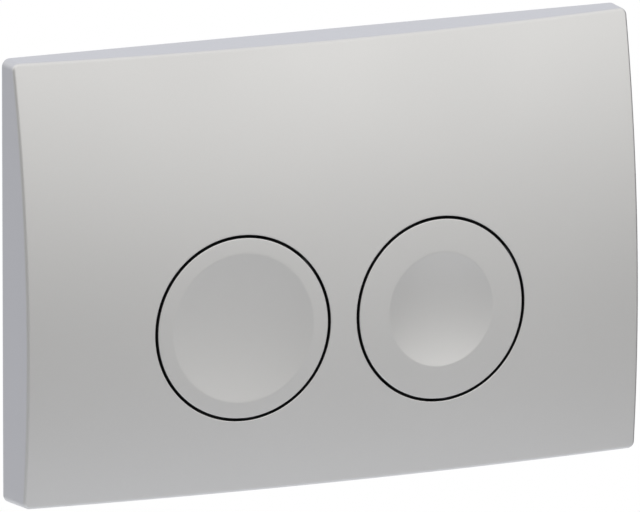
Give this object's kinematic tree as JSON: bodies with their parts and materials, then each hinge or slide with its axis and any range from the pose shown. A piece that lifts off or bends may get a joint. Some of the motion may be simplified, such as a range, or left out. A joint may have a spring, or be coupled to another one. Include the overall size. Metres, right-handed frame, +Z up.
{
  "type": "flush button plate",
  "caption": "Dual flush plate for a concealed cistern: domed cover with two round dished buttons, sprung, on a clip-on wall frame with push rods and distance bolts.",
  "frame": {"origin": "midway between the two distance bolts, on the plane of the wall", "axes": "+X to the right as seen from the front, +Z up, +Y into the wall; the buttons look along -Y"},
  "size_m": [0.246, 0.0741, 0.164],
  "materials": {
    "satin_silver_abs": "satin silver lacquer on moulded ABS",
    "white_abs": "moulded, fine grain",
    "grey_acetal": "moulded, smooth",
    "blue_acetal": "moulded, smooth",
    "rod_acetal": "extruded, smooth",
    "black_nylon": "moulded, satin",
    "spring_steel": "drawn wire and stamped strip",
    "zinc_plated_steel": "bright zinc plate"
  },
  "bodies": {
    "housing": {"front_cover": "satin_silver_abs", "full_flush_guide_bridge": "grey_acetal", "part_flush_guide_bridge": "grey_acetal", "bridge_screws": "zinc_plated_steel", "full_flush_spring": "spring_steel", "part_flush_spring": "spring_steel", "mounting_frame": "white_abs", "distance_bolt_left": "black_nylon", "distance_bolt_right": "black_nylon", "distance_bolt_nuts": "black_nylon"},
    "full_flush_button": {"full_flush_button": "satin_silver_abs", "full_flush_stem_clip": "spring_steel"},
    "full_flush_rod": {"full_flush_push_rod": "rod_acetal", "full_flush_rod_head": "blue_acetal", "full_flush_lock_nut": "blue_acetal"},
    "part_flush_button": {"part_flush_button": "satin_silver_abs", "part_flush_stem_clip": "spring_steel"},
    "part_flush_rod": {"part_flush_push_rod": "rod_acetal", "part_flush_rod_head": "blue_acetal", "part_flush_lock_nut": "blue_acetal"}
  },
  "joints": [
    {"name": "full_flush_press", "type": "slide", "parent": "housing", "child": "full_flush_button", "axis": [0, 1, 0], "range_m": [0, 0.006], "stiffness_N_per_m": 900, "springref_m": -0.005, "deforming": ["full_flush_spring"]},
    {"name": "full_flush_rod_slide", "type": "slide", "parent": "housing", "child": "full_flush_rod", "axis": [0, 1, 0], "range_m": [0, 0.006]},
    {"name": "part_flush_press", "type": "slide", "parent": "housing", "child": "part_flush_button", "axis": [0, 1, 0], "range_m": [0, 0.006], "stiffness_N_per_m": 900, "springref_m": -0.005, "deforming": ["part_flush_spring"]},
    {"name": "part_flush_rod_slide", "type": "slide", "parent": "housing", "child": "part_flush_rod", "axis": [0, 1, 0], "range_m": [0, 0.006]}
  ],
  "couplings": [
    {"joint": "full_flush_rod_slide", "follows": "full_flush_press", "ratio": 1},
    {"joint": "part_flush_rod_slide", "follows": "part_flush_press", "ratio": 1}
  ]
}
